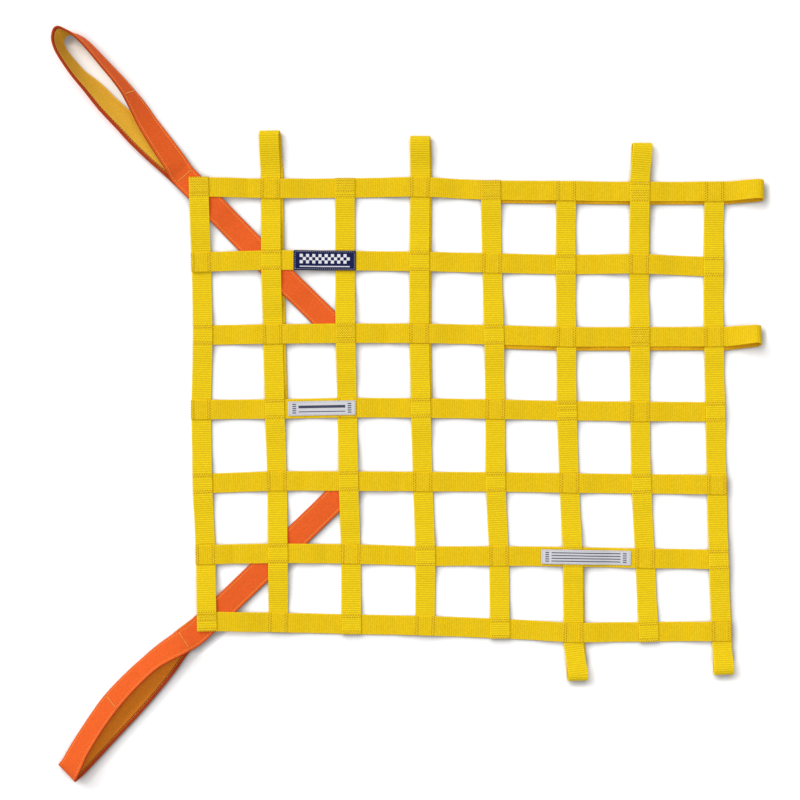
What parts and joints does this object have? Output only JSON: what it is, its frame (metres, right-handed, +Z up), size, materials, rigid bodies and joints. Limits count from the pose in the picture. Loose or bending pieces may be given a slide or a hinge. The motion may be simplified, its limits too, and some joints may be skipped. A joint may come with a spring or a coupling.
{
  "type": "racing window net",
  "caption": "Flat net of woven webbing straps with fixing loops at its edges and two covered release straps that end in hand loops.",
  "frame": {"origin": "centre of the net as it lies, on the surface that it lies on", "axes": "+X to the right along the level straps, away from the hand loops; +Y up along the upright straps; +Z up off the surface, through the net"},
  "size_m": [0.7222, 0.7652, 0.0252],
  "materials": {
    "net_webbing": "matt ribbed polyester webbing",
    "release_webbing": "matt polyester webbing",
    "release_cover": "matt woven cover",
    "dark_label": "smooth woven label",
    "pale_label": "smooth woven label"
  },
  "bodies": {
    "root": {"upright_strap_0": "net_webbing", "upright_strap_1": "net_webbing", "upright_strap_2": "net_webbing", "upright_strap_3": "net_webbing", "upright_strap_4": "net_webbing", "upright_strap_5": "net_webbing", "upright_strap_6": "net_webbing", "upright_strap_7": "net_webbing", "level_strap_0": "net_webbing", "level_strap_1": "net_webbing", "level_strap_2": "net_webbing", "level_strap_3": "net_webbing", "level_strap_4": "net_webbing", "level_strap_5": "net_webbing", "level_strap_6": "net_webbing", "release_webbing_upper": "release_webbing", "release_cover_upper": "release_cover", "release_webbing_lower": "release_webbing", "release_cover_lower": "release_cover", "woven_label_dark": "dark_label", "woven_label_pale_left": "pale_label", "woven_label_pale_right": "pale_label"}
  },
  "joints": []
}
